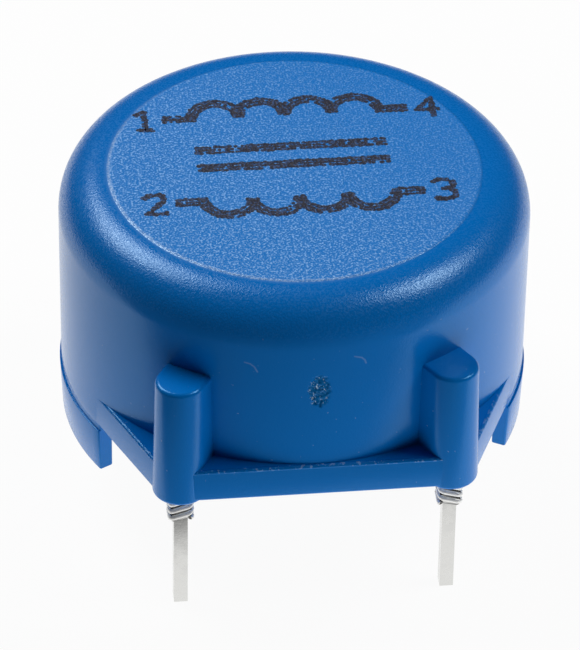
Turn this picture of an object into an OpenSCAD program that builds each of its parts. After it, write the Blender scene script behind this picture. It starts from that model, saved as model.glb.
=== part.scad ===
// Common mode choke for mains filters, horizontal type for through-hole boards.
// A moulded cup covers a ferrite ring with two windings. Four square pins are
// pressed into posts outside the cup, and the ends of the wires are wrapped round
// them and soldered. The open side of the cup is filled with casting resin.
// Origin: middle of the pin pattern on the board. Z points up, away from the board.

/* [Case] */
// Outside diameter of the case below its rounded top edge, or more if the ring needs it
case_d = 22; // [20:0.1:26]
// Height of the top face above the board
case_h = 13.1; // [12.1:0.05:16]
// Radius of the rounded top edge
top_edge_r = 2.2; // [1.2:0.1:3]
// Thickness of the side wall
wall = 0.9; // [0.7:0.05:1.2]
// Thickness of the roof
roof = 1; // [0.7:0.05:1.5]
// Height of the grained disc on the top above the rounded edge
disc_h = 0.05; // [0.02:0.01:0.1]
// Lean of the outside wall in degrees, towards the middle at the open side
lean = 0.2; // [0.05:0.05:0.6]
// Draft of the posts in degrees, wider at the open side
post_draft = 1.3; // [0.5:0.1:2]
// Draft of the outside of the feet in degrees, narrower at the board
foot_draft = 2.4; // [0.5:0.1:3]
// Thickness of the web that parts the two windings
web_t = 1; // [0.6:0.1:1.4]

/* [Base] */
// Gap between the board and the flange, which the feet keep
foot_h = 2.6; // [2.2:0.05:3]
// Radial thickness of the feet
foot_t = 0.7; // [0.5:0.05:0.8]
// How far the tops of the feet stand proud of the wall
foot_proud = 0.08; // [0.05:0.01:0.2]
// Distance from the flange down to the ledges on the feet
ledge_drop = 0.25; // [0.1:0.05:0.5]
// Angle that each foot covers
foot_angle = 58; // [30:1:66]
// Thickness of the flange that joins the posts
flange_t = 1.7; // [1:0.05:2.5]
// How far the front and back edges of the flange stand proud of the wall
flange_proud = 0.2; // [0.1:0.01:0.25]
// Rounding of the edges of flange and posts
edge_r = 0.15; // [0.05:0.01:0.3]

/* [Posts] */
// Width of a post at its top
post_w = 2.3; // [1.9:0.05:2.8]
// Height of the tops of the posts above the board
post_top = 8.85; // [7.8:0.05:9.3]
// How far the lower ends of the posts stand proud of the flange
post_proud = 0.14; // [0.05:0.01:0.2]
// How far the posts reach below the flange
post_drop = 0.15; // [0.05:0.01:0.25]

/* [Pins] */
// Distance between the pins of one side, centre to centre
pin_pitch_x = 12.5; // [10:0.1:15]
// Side of the square pin
pin_side = 0.64; // [0.5:0.01:0.8]
// Length of the pins below the board's top
pin_len = 4.15; // [2.5:0.05:6]
// Plastic left above the ends of the pins inside the posts
pin_cover = 1.5; // [0.8:0.1:3]
// Chamfer at the ends of the pins
pin_chamfer = 0.06; // [0.02:0.01:0.15]

/* [Core] */
// Outside diameter of the ferrite ring
core_od = 16.5; // [14:0.1:20]
// Inside diameter of the ferrite ring
core_hole_d = 9; // [8.6:0.1:10]
// Height of the ferrite ring
core_h = 7; // [5:0.1:7.2]
// Chamfer of the edges of the ring
core_chamfer = 0.6; // [0.3:0.05:0.8]

/* [Windings] */
// Diameter of the wire over its enamel
wire_d = 0.28; // [0.25:0.01:0.36]
// Turns of each winding, as far as they fit side by side in the ring
turns = 30; // [12:1:34]
// Angle of the ring that each winding covers
winding_angle = 146; // [130:1:150]
// Turns of wire round each pin
wrap_turns = 3; // [2:1:3]

/* [Resin] */
// Least depth of resin between the windings and the side wall
resin_side = 0.3; // [0.1:0.05:1]
// How far the windings stand out of the resin
resin_drop = 0.8; // [0.4:0.05:1.2]
// Depth of resin between the roof and the windings
resin_over = 0.4; // [0.2:0.05:0.8]

/* [Hidden] */
$fn = 96;

// Gaps between pieces that touch
fit_gap = 0.02;
core_gap = 0.05;
tail_gap = 0.05;
side_gap = 0.02;
turn_gap = 0.01;
wrap_gap = 0.07;

// Case
wound_r = core_od / 2 + core_gap + wire_d;
case_r = max(case_d / 2, wound_r + resin_side + wall);
edge_top = case_h - disc_h;
wall_top = edge_top - top_edge_r;
base_r = case_r - tan(lean) * (wall_top - foot_h);
disc_r = case_r - top_edge_r - disc_h;
cavity_r = case_r - wall;
cavity_edge_r = max(top_edge_r - wall, edge_r);
ceiling = case_h - roof;
anchor = wall / 2;

// The injection gate leaves a torn oval on the front of the wall
gate_w = 0.8;
gate_h = 1.4;
gate_depth = 0.08;
gate_z = 0.651 * case_h;

// Posts, from their tops down to their lower ends
post_r = post_w / 2;
post_low = foot_h - post_drop;
post_low_r = post_r + tan(post_draft) * (post_top - post_low);

// Flange: its sides touch a circle just inside the wall and a small circle round each pin
corner_r = post_low_r - post_proud;
touch_r = base_r - side_gap;

// Pins: the rows stand as far in from the flange's front and back edges, on a grid
row_grid = 0.05;
pin_x = pin_pitch_x / 2;
pin_y = row_grid * round((base_r + flange_proud - corner_r) / row_grid);
pin_at = [-pin_x, -pin_y];
pin_top = post_top - pin_cover;

// Sides of the flange, as the direction that they face and their length
pin_angle = atan2(pin_at.y, pin_at.x) + 360;
side_turn = acos((touch_r - corner_r) / norm(pin_at));
side_angle = pin_angle - side_turn;
side_len = norm(pin_at) * sin(side_turn);
front_angle = 270;
strip_w = corner_r + 2 * wall;

// Ring and windings, stacked under the roof
wire_r = wire_d / 2;
wire_off = core_gap + wire_r;
core_top = ceiling - resin_over - wire_d - core_gap;
core_low = core_top - core_h;
wire_top = core_top + wire_off;
wire_low = core_low - wire_off;
wire_out = core_od / 2 + wire_off;
wire_in = core_hole_d / 2 - wire_off;
corner_cut = core_chamfer + (2 - sqrt(2)) * wire_off;
turn_room = winding_angle * PI / 180 * wire_in / (wire_d + turn_gap);
turn_count = min(turns, floor(turn_room));
turn_step = winding_angle / turn_count;
first_turn = 180 + winding_angle / 2;
wire_sides = 8;

// Wire ends: they run out under the posts and then round the pins
tail_z = post_low - tail_gap - wire_r;
wrap_r = wire_r + fit_gap;
wrap_pitch = wire_d + wrap_gap;
wrap_steps = 12;
wrap_entry = pin_at + (pin_side / 2 + wrap_r * cos(45)) * [1, -1];
tail_root = wire_out * [cos(first_turn), sin(first_turn)];
tail_dir = (wrap_entry - tail_root) / norm(wrap_entry - tail_root);
wrap_lead = 0.5;
tail_end = wrap_entry - wrap_lead * tail_dir;

// Resin
resin_low = wire_low - wire_r + resin_drop;
web_low = wire_low - wire_r;
web_len = core_hole_d - 2 * core_gap;

// Sweeps

function unit(v) = v / norm(v);

// The path with each inner corner cut off by two points
function cut_corners(path, cut) = [
    for (i = [0 : len(path) - 1])
        if (i == 0 || i == len(path) - 1) path[i]
        else each let (
            to_last = path[i - 1] - path[i],
            to_next = path[i + 1] - path[i],
            reach_last = min(cut, 0.45 * norm(to_last)),
            reach_next = min(cut, 0.45 * norm(to_next))
        ) [path[i] + reach_last * unit(to_last), path[i] + reach_next * unit(to_next)]
];

// Directions into and out of point i of a path
function step_in(path, i) = unit(path[max(i, 1)] - path[max(i, 1) - 1]);
function step_out(path, i) = unit(path[min(i, len(path) - 2) + 1] - path[min(i, len(path) - 2)]);

// Ring of points round point i, mitred so that the wire keeps its thickness in a bend
function wire_ring(path, i, across) = let (
    along = unit(step_in(path, i) + step_out(path, i)),
    side = unit(across - (across * along) * along),
    mitre = cross(along, side) / max(along * step_out(path, i), 0.5)
) [
    for (k = [0 : wire_sides - 1]) let (a = 360 * k / wire_sides)
        path[i] + wire_r * (cos(a) * side + sin(a) * mitre)
];

// A round wire along a path. For each point, across holds a direction that the wire never runs in.
module wire(path, across) {
    count = len(path);
    n = wire_sides;
    points = [for (i = [0 : count - 1]) each wire_ring(path, i, across[i])];
    walls = [
        for (i = [0 : count - 2], k = [0 : n - 1])
            [(i + 1) * n + k, (i + 1) * n + (k + 1) % n, i * n + (k + 1) % n, i * n + k]
    ];
    start_cap = [for (k = [0 : n - 1]) k];
    end_cap = [for (k = [n - 1 : -1 : 0]) (count - 1) * n + k];
    polyhedron(points, concat(walls, [start_cap, end_cap]));
}

// Shared profiles

// Bar section from x = 0 outwards, with its outer edges rounded
module rounded_profile(reach, height) {
    square([reach - edge_r, height]);
    translate([0, edge_r]) square([reach, height - 2 * edge_r]);
    for (y = [edge_r, height - edge_r])
        translate([reach - edge_r, y]) circle(edge_r);
}

// Outline of one side of a post from its foot up, with draft and with its edges chamfered
function post_side(low_reach, height) = let (slope = tan(post_draft)) [
    [low_reach - edge_r, 0],
    [low_reach - slope * edge_r, edge_r],
    [low_reach - slope * (height - edge_r), height - edge_r],
    [low_reach - slope * height - edge_r, height]
];

// Half section of a round block with a rounded top edge
module domed_profile(low_r, high_r, low, high, round_r) {
    polygon([[0, low], [low_r, low], [high_r, high - round_r], [0, high - round_r]]);
    flat_r = high_r - round_r;
    translate([0, low]) square([flat_r, high - low]);
    translate([flat_r, high - round_r]) circle(round_r);
}

module four_corners() {
    for (mx = [0, 1], my = [0, 1])
        mirror([mx, 0, 0]) mirror([0, my, 0]) children();
}

// Case

module cup() {
    rotate_extrude() domed_profile(base_r, case_r, foot_h, edge_top, top_edge_r);
    translate([0, 0, ceiling]) cylinder(r = disc_r, h = roof);
}

// What fills the cup from a level up to the roof, less a gap all round
module cavity_fill(low, gap) {
    rotate_extrude() domed_profile(cavity_r - gap, cavity_r - gap, low, ceiling - gap, cavity_edge_r);
}

// Post of one corner: a round nose about the pin, with flat sides that run back into the wall
module post() {
    height = post_top - post_low;
    nose = post_side(post_low_r, height);
    flat = post_side(post_low_r - side_gap, height);
    other_flat = [for (i = [len(flat) - 1 : -1 : 0]) [-flat[i].x, flat[i].y]];
    back = cavity_r + anchor;
    rotate(pin_angle) {
        translate([norm(pin_at), 0, post_low])
            rotate_extrude() polygon(concat([[0, 0]], nose, [[0, height]]));
        translate([back, 0, post_low]) rotate([90, 0, 90]) linear_extrude(norm(pin_at) - back)
            polygon(concat(flat, other_flat));
    }
}

// Flange of one corner: a rounded corner about the pin, and a side that runs out along the wall
module flange_corner() {
    translate([pin_at.x, pin_at.y, foot_h]) {
        rotate(side_angle)
            rotate_extrude(angle = front_angle - side_angle) rounded_profile(corner_r, flange_t);
        rotate(side_angle) translate([corner_r - strip_w, 0, 0]) rotate([90, 0, 0])
            linear_extrude(side_len) rounded_profile(strip_w, flange_t);
    }
}

// Straight edge of the flange between the two posts of one side
module flange_edge() {
    translate([-pin_x, -pin_y - corner_r + strip_w, foot_h]) rotate([90, 0, 90])
        linear_extrude(pin_pitch_x) mirror([1, 0]) rounded_profile(strip_w, flange_t);
}

// Foot: a piece of ring with a ledge on its outside, where it stands proud of the wall
module foot() {
    ledge_z = foot_h - ledge_drop;
    ledge_r = base_r + foot_proud;
    low_r = ledge_r - tan(foot_draft) * ledge_z;
    high = foot_h + flange_t / 2;
    rotate(-foot_angle / 2) rotate_extrude(angle = foot_angle)
        polygon([
            [low_r - foot_t, 0], [low_r, 0], [ledge_r, ledge_z], [base_r - side_gap, ledge_z],
            [base_r - side_gap, high], [low_r - foot_t, high]
        ]);
}

module pin_hole() {
    side = pin_side + 2 * fit_gap;
    translate([pin_at.x - side / 2, pin_at.y - side / 2, 0])
        cube([side, side, pin_top + fit_gap]);
}

module gate_scar() {
    for (end = [-1, 1])
        translate([0, gate_depth - case_r, gate_z + end * (gate_h - gate_w) / 2]) rotate([90, 0, 0])
            cylinder(d = gate_w, h = wall);
    translate([-gate_w / 2, gate_depth - case_r - wall, gate_z - (gate_h - gate_w) / 2])
        cube([gate_w, wall, gate_h - gate_w]);
}

module winding_web(gap) {
    translate([-web_t / 2 - gap, -web_len / 2 - gap, web_low - gap])
        cube([web_t + 2 * gap, web_len + 2 * gap, ceiling + anchor - web_low + gap]);
}

module case() color("#1560b0") {
    difference() {
        union() {
            cup();
            four_corners() {
                post();
                flange_corner();
            }
            for (m = [0, 1]) mirror([0, m, 0]) flange_edge();
            for (m = [0, 1]) mirror([m, 0, 0]) foot();
        }
        cavity_fill(foot_h - anchor, 0);
        four_corners() pin_hole();
        gate_scar();
    }
    winding_web(0);
}

// Core and windings

// Section of the ring, grown by a gap on all sides
module ring_profile(gap) {
    in = core_hole_d / 2 - gap;
    out = core_od / 2 + gap;
    cut = core_chamfer + (2 - sqrt(2)) * gap;
    polygon([
        [in + cut, core_low - gap], [out - cut, core_low - gap], [out, core_low - gap + cut],
        [out, core_top + gap - cut], [out - cut, core_top + gap], [in + cut, core_top + gap],
        [in, core_top + gap - cut], [in, core_low - gap + cut]
    ]);
}

module ferrite_core() color("#33353a") rotate_extrude() ring_profile(0);

function on_ring(r, turn, z) = let (a = first_turn - turn * turn_step) [r * cos(a), r * sin(a), z];

// Sharp corners of the wire: in from the front pin, through the ring turn by turn, and out to the back pin
winding_corners = [
    [tail_end.x, tail_end.y, tail_z],
    on_ring(wire_out, 0, tail_z),
    for (i = [0 : turn_count - 1]) each [
        on_ring(wire_out, i, wire_top),
        on_ring(wire_in, i, wire_top),
        on_ring(wire_in, i, wire_low),
        on_ring(wire_out, i + 1, wire_low)
    ],
    on_ring(wire_out, turn_count, tail_z),
    [tail_end.x, -tail_end.y, tail_z]
];

module winding() {
    path = cut_corners(winding_corners, corner_cut);
    wire(path, [for (p = path) unit([-p.y, p.x, 0])]);
}

module left_winding() color("#b5652b") winding();
module right_winding() color("#b5652b") mirror([1, 0, 0]) winding();

// Resin

// The ring sector that one winding takes up, with open space below it
module winding_room() {
    grow = wire_r + fit_gap;
    margin = asin(grow / (wire_in - wire_r));
    rotate(180 - winding_angle / 2 - margin) rotate_extrude(angle = winding_angle + 2 * margin)
        translate([wire_in - grow, foot_h])
            square([wire_out - wire_in + 2 * grow, wire_top + grow - foot_h]);
}

module casting_resin() color("#d8cfae") difference() {
    cavity_fill(resin_low, fit_gap);
    rotate_extrude() ring_profile(fit_gap);
    for (m = [0, 1]) mirror([m, 0, 0]) winding_room();
    winding_web(fit_gap);
}

// Pins and wire ends

module pin_profile() {
    half = pin_side / 2;
    polygon([
        [-half, pin_chamfer - pin_len], [pin_chamfer - half, -pin_len], [half - pin_chamfer, -pin_len],
        [half, pin_chamfer - pin_len], [half, pin_top - pin_chamfer], [half - pin_chamfer, pin_top],
        [pin_chamfer - half, pin_top], [-half, pin_top - pin_chamfer]
    ]);
}

module pin() color("#c9cacb") translate([pin_at.x, pin_at.y, 0]) intersection() {
    rotate([90, 0, 0]) linear_extrude(pin_side, center = true) pin_profile();
    rotate([90, 0, 90]) linear_extrude(pin_side, center = true) pin_profile();
}

// Corner points of the wire round the pin, three to each edge of the pin, going down from the flange
wrap_path = [
    [tail_end.x, tail_end.y, tail_z],
    for (k = [1 : wrap_turns * wrap_steps + 1]) let (
        corner = floor(k / 3),
        edge = [cos(-45 - 90 * corner), sin(-45 - 90 * corner)],
        a = -90 * corner - 45 * (k % 3),
        at = pin_at + pin_side / sqrt(2) * edge + wrap_r * [cos(a), sin(a)]
    ) [at.x, at.y, tail_z - wrap_pitch * (k - 1) / wrap_steps]
];

module wire_wrap() color("#d6d6d2") wire(wrap_path, [for (p = wrap_path) [0, 0, 1]]);

module at_corner(right, back) {
    mirror([right, 0, 0]) mirror([0, back, 0]) children();
}

case();
ferrite_core();
left_winding();
right_winding();
casting_resin();
at_corner(0, 0) pin();  // pin_front_left
at_corner(1, 0) pin();  // pin_front_right
at_corner(0, 1) pin();  // pin_back_left
at_corner(1, 1) pin();  // pin_back_right
at_corner(0, 0) wire_wrap();  // wire_wrap_front_left
at_corner(1, 0) wire_wrap();  // wire_wrap_front_right
at_corner(0, 1) wire_wrap();  // wire_wrap_back_left
at_corner(1, 1) wire_wrap();  // wire_wrap_back_right
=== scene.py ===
import math
import bmesh
import bpy
from mathutils import Matrix, Vector, noise


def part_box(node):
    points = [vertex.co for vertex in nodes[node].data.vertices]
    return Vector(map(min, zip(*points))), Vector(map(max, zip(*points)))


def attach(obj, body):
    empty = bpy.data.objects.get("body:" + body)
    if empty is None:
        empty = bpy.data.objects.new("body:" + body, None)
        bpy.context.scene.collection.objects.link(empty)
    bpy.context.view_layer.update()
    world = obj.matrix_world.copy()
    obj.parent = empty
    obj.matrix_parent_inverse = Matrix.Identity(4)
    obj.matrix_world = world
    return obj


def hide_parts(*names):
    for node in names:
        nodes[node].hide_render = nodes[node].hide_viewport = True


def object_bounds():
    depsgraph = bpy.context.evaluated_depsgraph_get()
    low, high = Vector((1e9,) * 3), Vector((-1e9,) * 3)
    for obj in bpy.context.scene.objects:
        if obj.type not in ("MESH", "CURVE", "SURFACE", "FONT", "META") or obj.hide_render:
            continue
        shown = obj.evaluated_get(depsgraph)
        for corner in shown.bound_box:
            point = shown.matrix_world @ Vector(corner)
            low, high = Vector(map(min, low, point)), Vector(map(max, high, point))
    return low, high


mm = 0.001
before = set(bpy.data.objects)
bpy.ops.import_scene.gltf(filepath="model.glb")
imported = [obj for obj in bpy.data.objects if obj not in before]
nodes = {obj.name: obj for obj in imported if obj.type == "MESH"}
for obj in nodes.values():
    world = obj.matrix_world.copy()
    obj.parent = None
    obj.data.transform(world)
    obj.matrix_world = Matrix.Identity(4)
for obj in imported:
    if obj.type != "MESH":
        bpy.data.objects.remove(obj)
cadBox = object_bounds()
sides = {"left": -1, "right": 1}
ends = {"front": -1, "back": 1}
corners = {f"{e}_{s}": (sides[s], ends[e]) for e in ends for s in sides}
print("frame loaded:", len(nodes), "nodes")


# Mesh helpers: all shapes are drawn in millimetres and stored in metres

def polar(radius, angle, z=0.0):
    return Vector((radius * math.cos(angle), radius * math.sin(angle), z))


def arcPoints(centre, radius, start, stop, steps):
    # points of an arc in a section, as (r, z) pairs
    turn = [math.radians(start + (stop - start) * i / steps) for i in range(steps + 1)]
    return [(centre[0] + radius * math.cos(t), centre[1] + radius * math.sin(t)) for t in turn]


class Shape:
    # gathers closed shells, which become one mesh object
    def __init__(self):
        self.bm = bmesh.new()

    def loop(self, points):
        return [self.bm.verts.new(Vector(p) * mm) for p in points]

    def face(self, verts):
        return self.bm.faces.new(verts)

    def bridge(self, low, high):
        count = len(low)
        for i in range(count):
            j = (i + 1) % count
            self.face((low[i], low[j], high[j], high[i]))

    def loft(self, rings, capStart=True, capEnd=True, joinEnds=False):
        loops = [self.loop(r) for r in rings]
        for low, high in zip(loops, loops[1:]):
            self.bridge(low, high)
        if joinEnds:
            self.bridge(loops[-1], loops[0])
            return
        if capStart:
            self.face(loops[0][::-1])
        if capEnd:
            self.face(loops[-1])

    def toObject(self, name, smoothAngle=38):
        bmesh.ops.recalc_face_normals(self.bm, faces=self.bm.faces)
        mesh = bpy.data.meshes.new(name)
        self.bm.to_mesh(mesh)
        self.bm.free()
        return addObject(name, mesh, smoothAngle)


def addObject(name, mesh, smoothAngle=None):
    obj = bpy.data.objects.new(name, mesh)
    bpy.context.scene.collection.objects.link(obj)
    if smoothAngle is not None:
        mesh.shade_smooth()
        mesh.set_sharp_from_angle(angle=math.radians(smoothAngle))
    return obj


def smoothStep(low, high, x):
    t = min(max((x - low) / (high - low), 0.0), 1.0)
    return t * t * (3 - 2 * t)


# Shader helpers

def newMaterial(name):
    mat = bpy.data.materials.new(name)
    mat.use_nodes = True
    tree = mat.node_tree
    return mat, tree, tree.nodes["Principled BSDF"]


def addNode(tree, kind, **settings):
    node = tree.nodes.new(kind)
    for key, value in settings.items():
        if hasattr(node, key):
            setattr(node, key, value)
        else:
            node.inputs[key].default_value = value
    return node


def mathNode(tree, operation, first, second=None, third=None, clamp=False):
    node = tree.nodes.new("ShaderNodeMath")
    node.operation = operation
    node.use_clamp = clamp
    for socket, value in zip(node.inputs, (first, second, third)):
        if isinstance(value, bpy.types.NodeSocket):
            tree.links.new(value, socket)
        elif value is not None:
            socket.default_value = value
    return node.outputs[0]


def mixColour(tree, factor, first, second):
    node = tree.nodes.new("ShaderNodeMix")
    node.data_type = "RGBA"
    for socket, value in zip((node.inputs[0], node.inputs[6], node.inputs[7]), (factor, first, second)):
        if isinstance(value, bpy.types.NodeSocket):
            tree.links.new(value, socket)
        else:
            socket.default_value = value
    return node.outputs[2]


def rampNode(tree, value, low, high, outLow=0.0, outHigh=1.0):
    node = addNode(tree, "ShaderNodeMapRange", interpolation_type="SMOOTHSTEP")
    for key, number in {"From Min": low, "From Max": high, "To Min": outLow, "To Max": outHigh}.items():
        node.inputs[key].default_value = number
    tree.links.new(value, node.inputs["Value"])
    return node.outputs["Result"]


def objectCoords(tree):
    # the place in the part's own frame, as a vector and as x, y and z
    coords = tree.nodes.new("ShaderNodeTexCoord")
    split = tree.nodes.new("ShaderNodeSeparateXYZ")
    tree.links.new(coords.outputs["Object"], split.inputs[0])
    return coords.outputs["Object"], split.outputs[0], split.outputs[1], split.outputs[2]


def linkBump(tree, bsdf, height, strength, distance):
    bump = addNode(tree, "ShaderNodeBump", Strength=strength, Distance=distance)
    tree.links.new(height, bump.inputs["Height"])
    tree.links.new(bump.outputs["Normal"], bsdf.inputs["Normal"])


def makeGroup(name, inputs, outputs):
    # a shader node group with named sockets, and its input and output nodes
    tree = bpy.data.node_groups.new(name, "ShaderNodeTree")
    for label, (kind, value) in inputs.items():
        socket = tree.interface.new_socket(label, in_out="INPUT", socket_type=kind)
        socket.default_value = value
    for label, kind in outputs.items():
        tree.interface.new_socket(label, in_out="OUTPUT", socket_type=kind)
    return tree, tree.nodes.new("NodeGroupInput"), tree.nodes.new("NodeGroupOutput")


def useGroup(tree, group, **values):
    node = tree.nodes.new("ShaderNodeGroup")
    node.node_tree = group
    for key, value in values.items():
        node.inputs[key].default_value = value
    return node


def buildGrain():
    # fine unevenness of a surface, as a height and a mask of pale specks
    group, inside, outside = makeGroup(
        "surfaceGrain",
        {"Fine": ("NodeSocketFloat", 9000.0), "Coarse": ("NodeSocketFloat", 1500.0),
         "Share": ("NodeSocketFloat", 0.5)},
        {"Height": "NodeSocketFloat", "Patch": "NodeSocketFloat"},
    )
    coords = group.nodes.new("ShaderNodeTexCoord")
    layers = []
    for label in ("Fine", "Coarse"):
        tex = addNode(group, "ShaderNodeTexNoise", Detail=2.0, Roughness=0.5)
        group.links.new(coords.outputs["Object"], tex.inputs["Vector"])
        group.links.new(inside.outputs[label], tex.inputs["Scale"])
        layers.append(tex.outputs["Fac"])
    mix = addNode(group, "ShaderNodeMix")
    group.links.new(inside.outputs["Share"], mix.inputs[0])
    group.links.new(layers[0], mix.inputs[2])
    group.links.new(layers[1], mix.inputs[3])
    group.links.new(mix.outputs[0], outside.inputs["Height"])
    group.links.new(layers[1], outside.inputs["Patch"])
    return group


grainGroup = buildGrain()


# Case: one moulding, made of a cup, a flange with posts, and two curved feet

case = {
    "diameter": 22.0,
    "topEdge": 2.2,        # radius of the rounded top edge
    "discHeight": 0.05,    # grained disc that stands above the rounded edge
    "discEdge": 0.3,
    "wall": 0.9,
    "lean": 0.2,           # degrees, towards the middle at the open side
    "postDraft": 1.3,      # degrees, wider below
    "footDraft": 2.4,      # degrees, narrower below
    "footHeight": 2.6,
    "footThick": 0.7,
    "footProud": 0.08,
    "ledgeDrop": 0.25,
    "footAngle": 58,
    "flangeThick": 1.7,
    "flangeEdge": 0.14,
    "postWidth": 2.3,
    "postTop": 8.85,
    "postEdge": 0.2,
    "postProud": 0.14,
    "postDrop": 0.15,
    "webThick": 1.0,
    "webGap": 0.05,
    "webDrop": 0.33,       # below the core
    "webAnchor": 0.3,      # into the roof
    "rimEdge": 0.06,       # rounding of the cup's open rim
    "footEdge": 0.09,
    "ledgeEdge": 0.03,
    "footAnchor": 0.2,     # how far the feet reach into the flange
    "sideGap": 0.02,       # flange sides touch a circle just inside the wall
    "wornBand": 0.05,      # worn edge of the flange: its width, rise and depth, and how far out it starts
    "wornRise": 0.002,
    "wornDepth": 0.1,
    "wornFrom": 0.03,
    "resinGap": 0.02,
    "seam": 0.01,          # keeps faces of joined shapes apart
    "ink": 0.008,          # depth left for the print on the disc
    "steps": 240,
}
# scar of the injection gate on the front wall
gate = {"width": 1.05, "height": 1.95, "depth": 0.06, "rough": 0.07, "heightShare": 0.651, "cell": 0.05}
core = {"holeRadius": 4.5}

caseHigh = Vector(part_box("case")[1]) / mm
resinHigh = Vector(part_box("casting_resin")[1]) / mm
coreLow, coreHigh = (Vector(v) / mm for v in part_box("ferrite_core"))
pinLow, pinHigh = (Vector(v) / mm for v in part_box("pin_front_right"))
pinX = (pinLow.x + pinHigh.x) / 2
pinY = -(pinLow.y + pinHigh.y) / 2
pinHalf = (pinHigh.x - pinLow.x) / 2
topZ = caseHigh.z
discZ = topZ - case["ink"]
edgeTop = topZ - case["discHeight"]
wallTop = edgeTop - case["topEdge"]
lean, postDraft, footDraft = (math.tan(math.radians(case[k])) for k in ("lean", "postDraft", "footDraft"))
caseR = case["diameter"] / 2
baseR = caseR - lean * (wallTop - case["footHeight"])
cavityR = caseR - case["wall"]
ceiling = resinHigh.z + case["resinGap"]
postLow = case["footHeight"] - case["postDrop"]
postLowR = case["postWidth"] / 2 + postDraft * (case["postTop"] - postLow)
cornerR = postLowR - case["postProud"]
coreHoleR = core["holeRadius"]


def wallRadius(z):
    return caseR - lean * (wallTop - z)


def gateShare(angle, z):
    # 1 inside the torn oval where the moulding's sprue broke off, 0 outside
    along = (angle + math.pi / 2) * caseR
    up = z - gate["heightShare"] * topZ
    ragged = 0.25 * noise.noise(Vector((along * 5, up * 5, 3.1)))
    reach = math.hypot(along / (gate["width"] / 2), up / (gate["height"] / 2)) + ragged
    return 1 - smoothStep(0.75, 1.05, reach)


def gateDent(angle, z):
    at = Vector(((angle + math.pi / 2) * caseR, z, 0))
    torn = noise.noise(at * 9 + Vector((0, 0, 7.7))) + 0.6 * noise.noise(at * 21)
    return gateShare(angle, z) * (gate["depth"] * 0.6 + gate["rough"] * torn)


def cupColumns():
    # column angles, closer together where the gate scar is
    fine = 1.3 * gate["width"] / caseR
    count = case["steps"]
    angles = [-math.pi / 2 + 2 * math.pi * i / count for i in range(count)]
    middle = -math.pi / 2
    keep = [a for a in angles if abs(a - middle) > fine and abs(a - 2 * math.pi - middle) > fine]
    dense = int(2 * fine * caseR / gate["cell"])
    return sorted(keep + [middle - fine + 2 * fine * i / dense for i in range(dense + 1)])


def addCup(shape):
    foot = case["footHeight"] + case["seam"]
    gateZ = gate["heightShare"] * topZ
    gateTop, gateLow = gateZ + gate["height"], gateZ - gate["height"]
    rows = int((gateTop - gateLow) / gate["cell"])
    wallRows = [wallTop - (wallTop - gateTop) * i / 4 for i in range(1, 4)]
    wallRows += [gateTop - (gateTop - gateLow) * i / rows for i in range(rows + 1)]
    wallRows += [gateLow - (gateLow - foot) * i / 8 for i in range(1, 8)]
    edge, inner = case["rimEdge"], case["topEdge"] - case["wall"]
    flat = caseR - case["topEdge"]
    discR, discEdge = flat - case["discHeight"], case["discEdge"]
    bend = 2 * math.atan((discZ - edgeTop) / discEdge)
    bendR = discEdge / math.sin(bend)
    section = [((discR - discEdge) * i / 6, discZ) for i in range(1, 6)]
    section += arcPoints((discR - discEdge, discZ - bendR), bendR, 90, 90 - math.degrees(bend), 6)
    section += arcPoints((flat, wallTop), case["topEdge"], 90, 0, 28)
    section += [(wallRadius(z), z) for z in wallRows]
    section += arcPoints((baseR - edge, foot + edge), edge, 0, -90, 3)
    section += [(cavityR, foot), (cavityR, ceiling - inner)]
    section += arcPoints((cavityR - inner, ceiling - inner), inner, 0, 90, 8)
    columns = cupColumns()
    loops = []
    for r, z in section:
        onWall = gateLow <= z <= gateTop and r > cavityR + 0.1
        loops.append(shape.loop(polar(r - (gateDent(a, z) if onWall else 0), a, z) for a in columns))
    for low, high in zip(loops, loops[1:]):
        shape.bridge(low, high)
    for z, ring in ((discZ, loops[0]), (ceiling, loops[-1])):
        pole = shape.loop([(0, 0, z)])[0]
        for i in range(len(ring)):
            shape.face((pole, ring[i], ring[(i + 1) % len(ring)]))


def flangeOutline():
    # points and outward angles all round: tangents from the wall to a small circle about each pin
    touchR = baseR - case["sideGap"]
    reach = math.hypot(pinX, pinY)
    pinAngle = math.atan2(pinY, pinX)
    sideAngle = pinAngle - math.acos((touchR - cornerR) / reach)
    quarter = [(polar(touchR, sideAngle * i / 12), sideAngle * i / 12) for i in range(1, 13)]
    pinAt = Vector((pinX, pinY, 0))
    for i in range(13):
        a = sideAngle + (math.pi / 2 - sideAngle) * i / 12
        quarter.append((pinAt + polar(cornerR, a), a))
    quarter += [(Vector((pinX * (1 - i / 8), pinY + cornerR, 0)), math.pi / 2) for i in range(1, 8)]
    half = quarter + [(Vector((0, pinY + cornerR, 0)), math.pi / 2)]
    half += [(Vector((-p.x, p.y, 0)), math.pi - a) for p, a in reversed(quarter)]
    half.append((Vector((-touchR, 0, 0)), math.pi))
    return half + [(Vector((-p.x, -p.y, 0)), a + math.pi) for p, a in half]


def roundedRings(outline, low, high, edge, steps=4, slope=0.0):
    # rings of a prism with rounded top and bottom edges, which may narrow upwards
    turns = [math.pi / 2 * i / steps for i in range(steps + 1)]
    levels = [(edge * (1 - math.sin(t)), low + edge * (1 - math.cos(t))) for t in turns]
    levels += [(inset, low + high - z) for inset, z in reversed(levels)]
    return [[p - polar(inset + slope * (z - low), a) + Vector((0, 0, z)) for p, a in outline]
            for inset, z in levels]


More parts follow.
